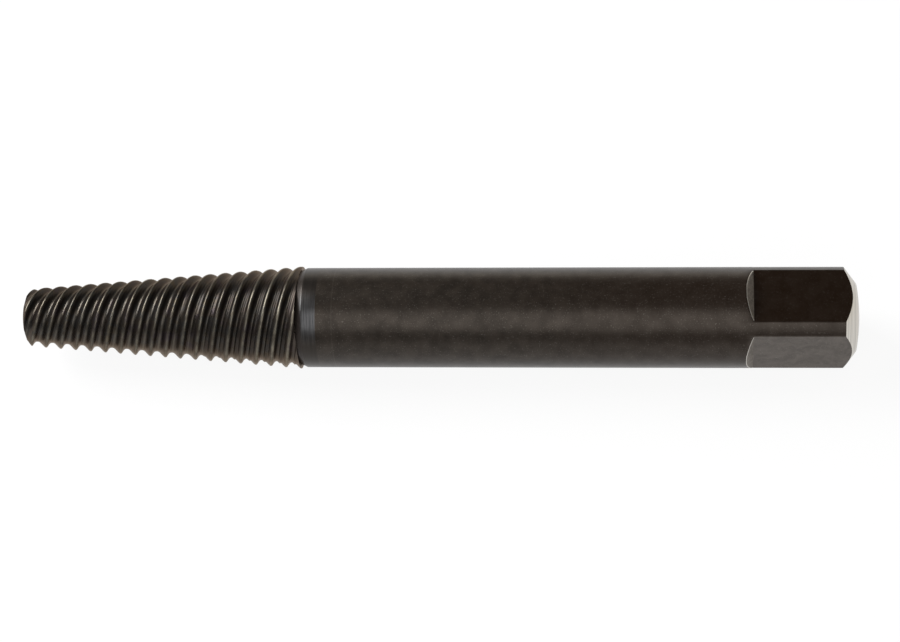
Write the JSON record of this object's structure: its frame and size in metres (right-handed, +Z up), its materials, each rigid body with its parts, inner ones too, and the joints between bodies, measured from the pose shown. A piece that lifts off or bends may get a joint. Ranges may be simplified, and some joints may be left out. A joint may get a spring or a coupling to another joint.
{
  "type": "screw extractor",
  "caption": "Left-hand fluted, tapered screw extractor turned from one steel bar, with a round shank and a square drive for a tap wrench.",
  "frame": {"origin": "centre of the nose's tip, on the tool's axis", "axes": "+X along the axis from the tip to the square drive, +Z up and square to one flat of the drive, +Y square to the next flat"},
  "size_m": [0.0727, 0.0088, 0.0088],
  "materials": {
    "tempered_steel": "black oxide on hardened steel, with bare turned chamfer"
  },
  "bodies": {
    "root": {"extractor_body": "tempered_steel"}
  },
  "joints": []
}
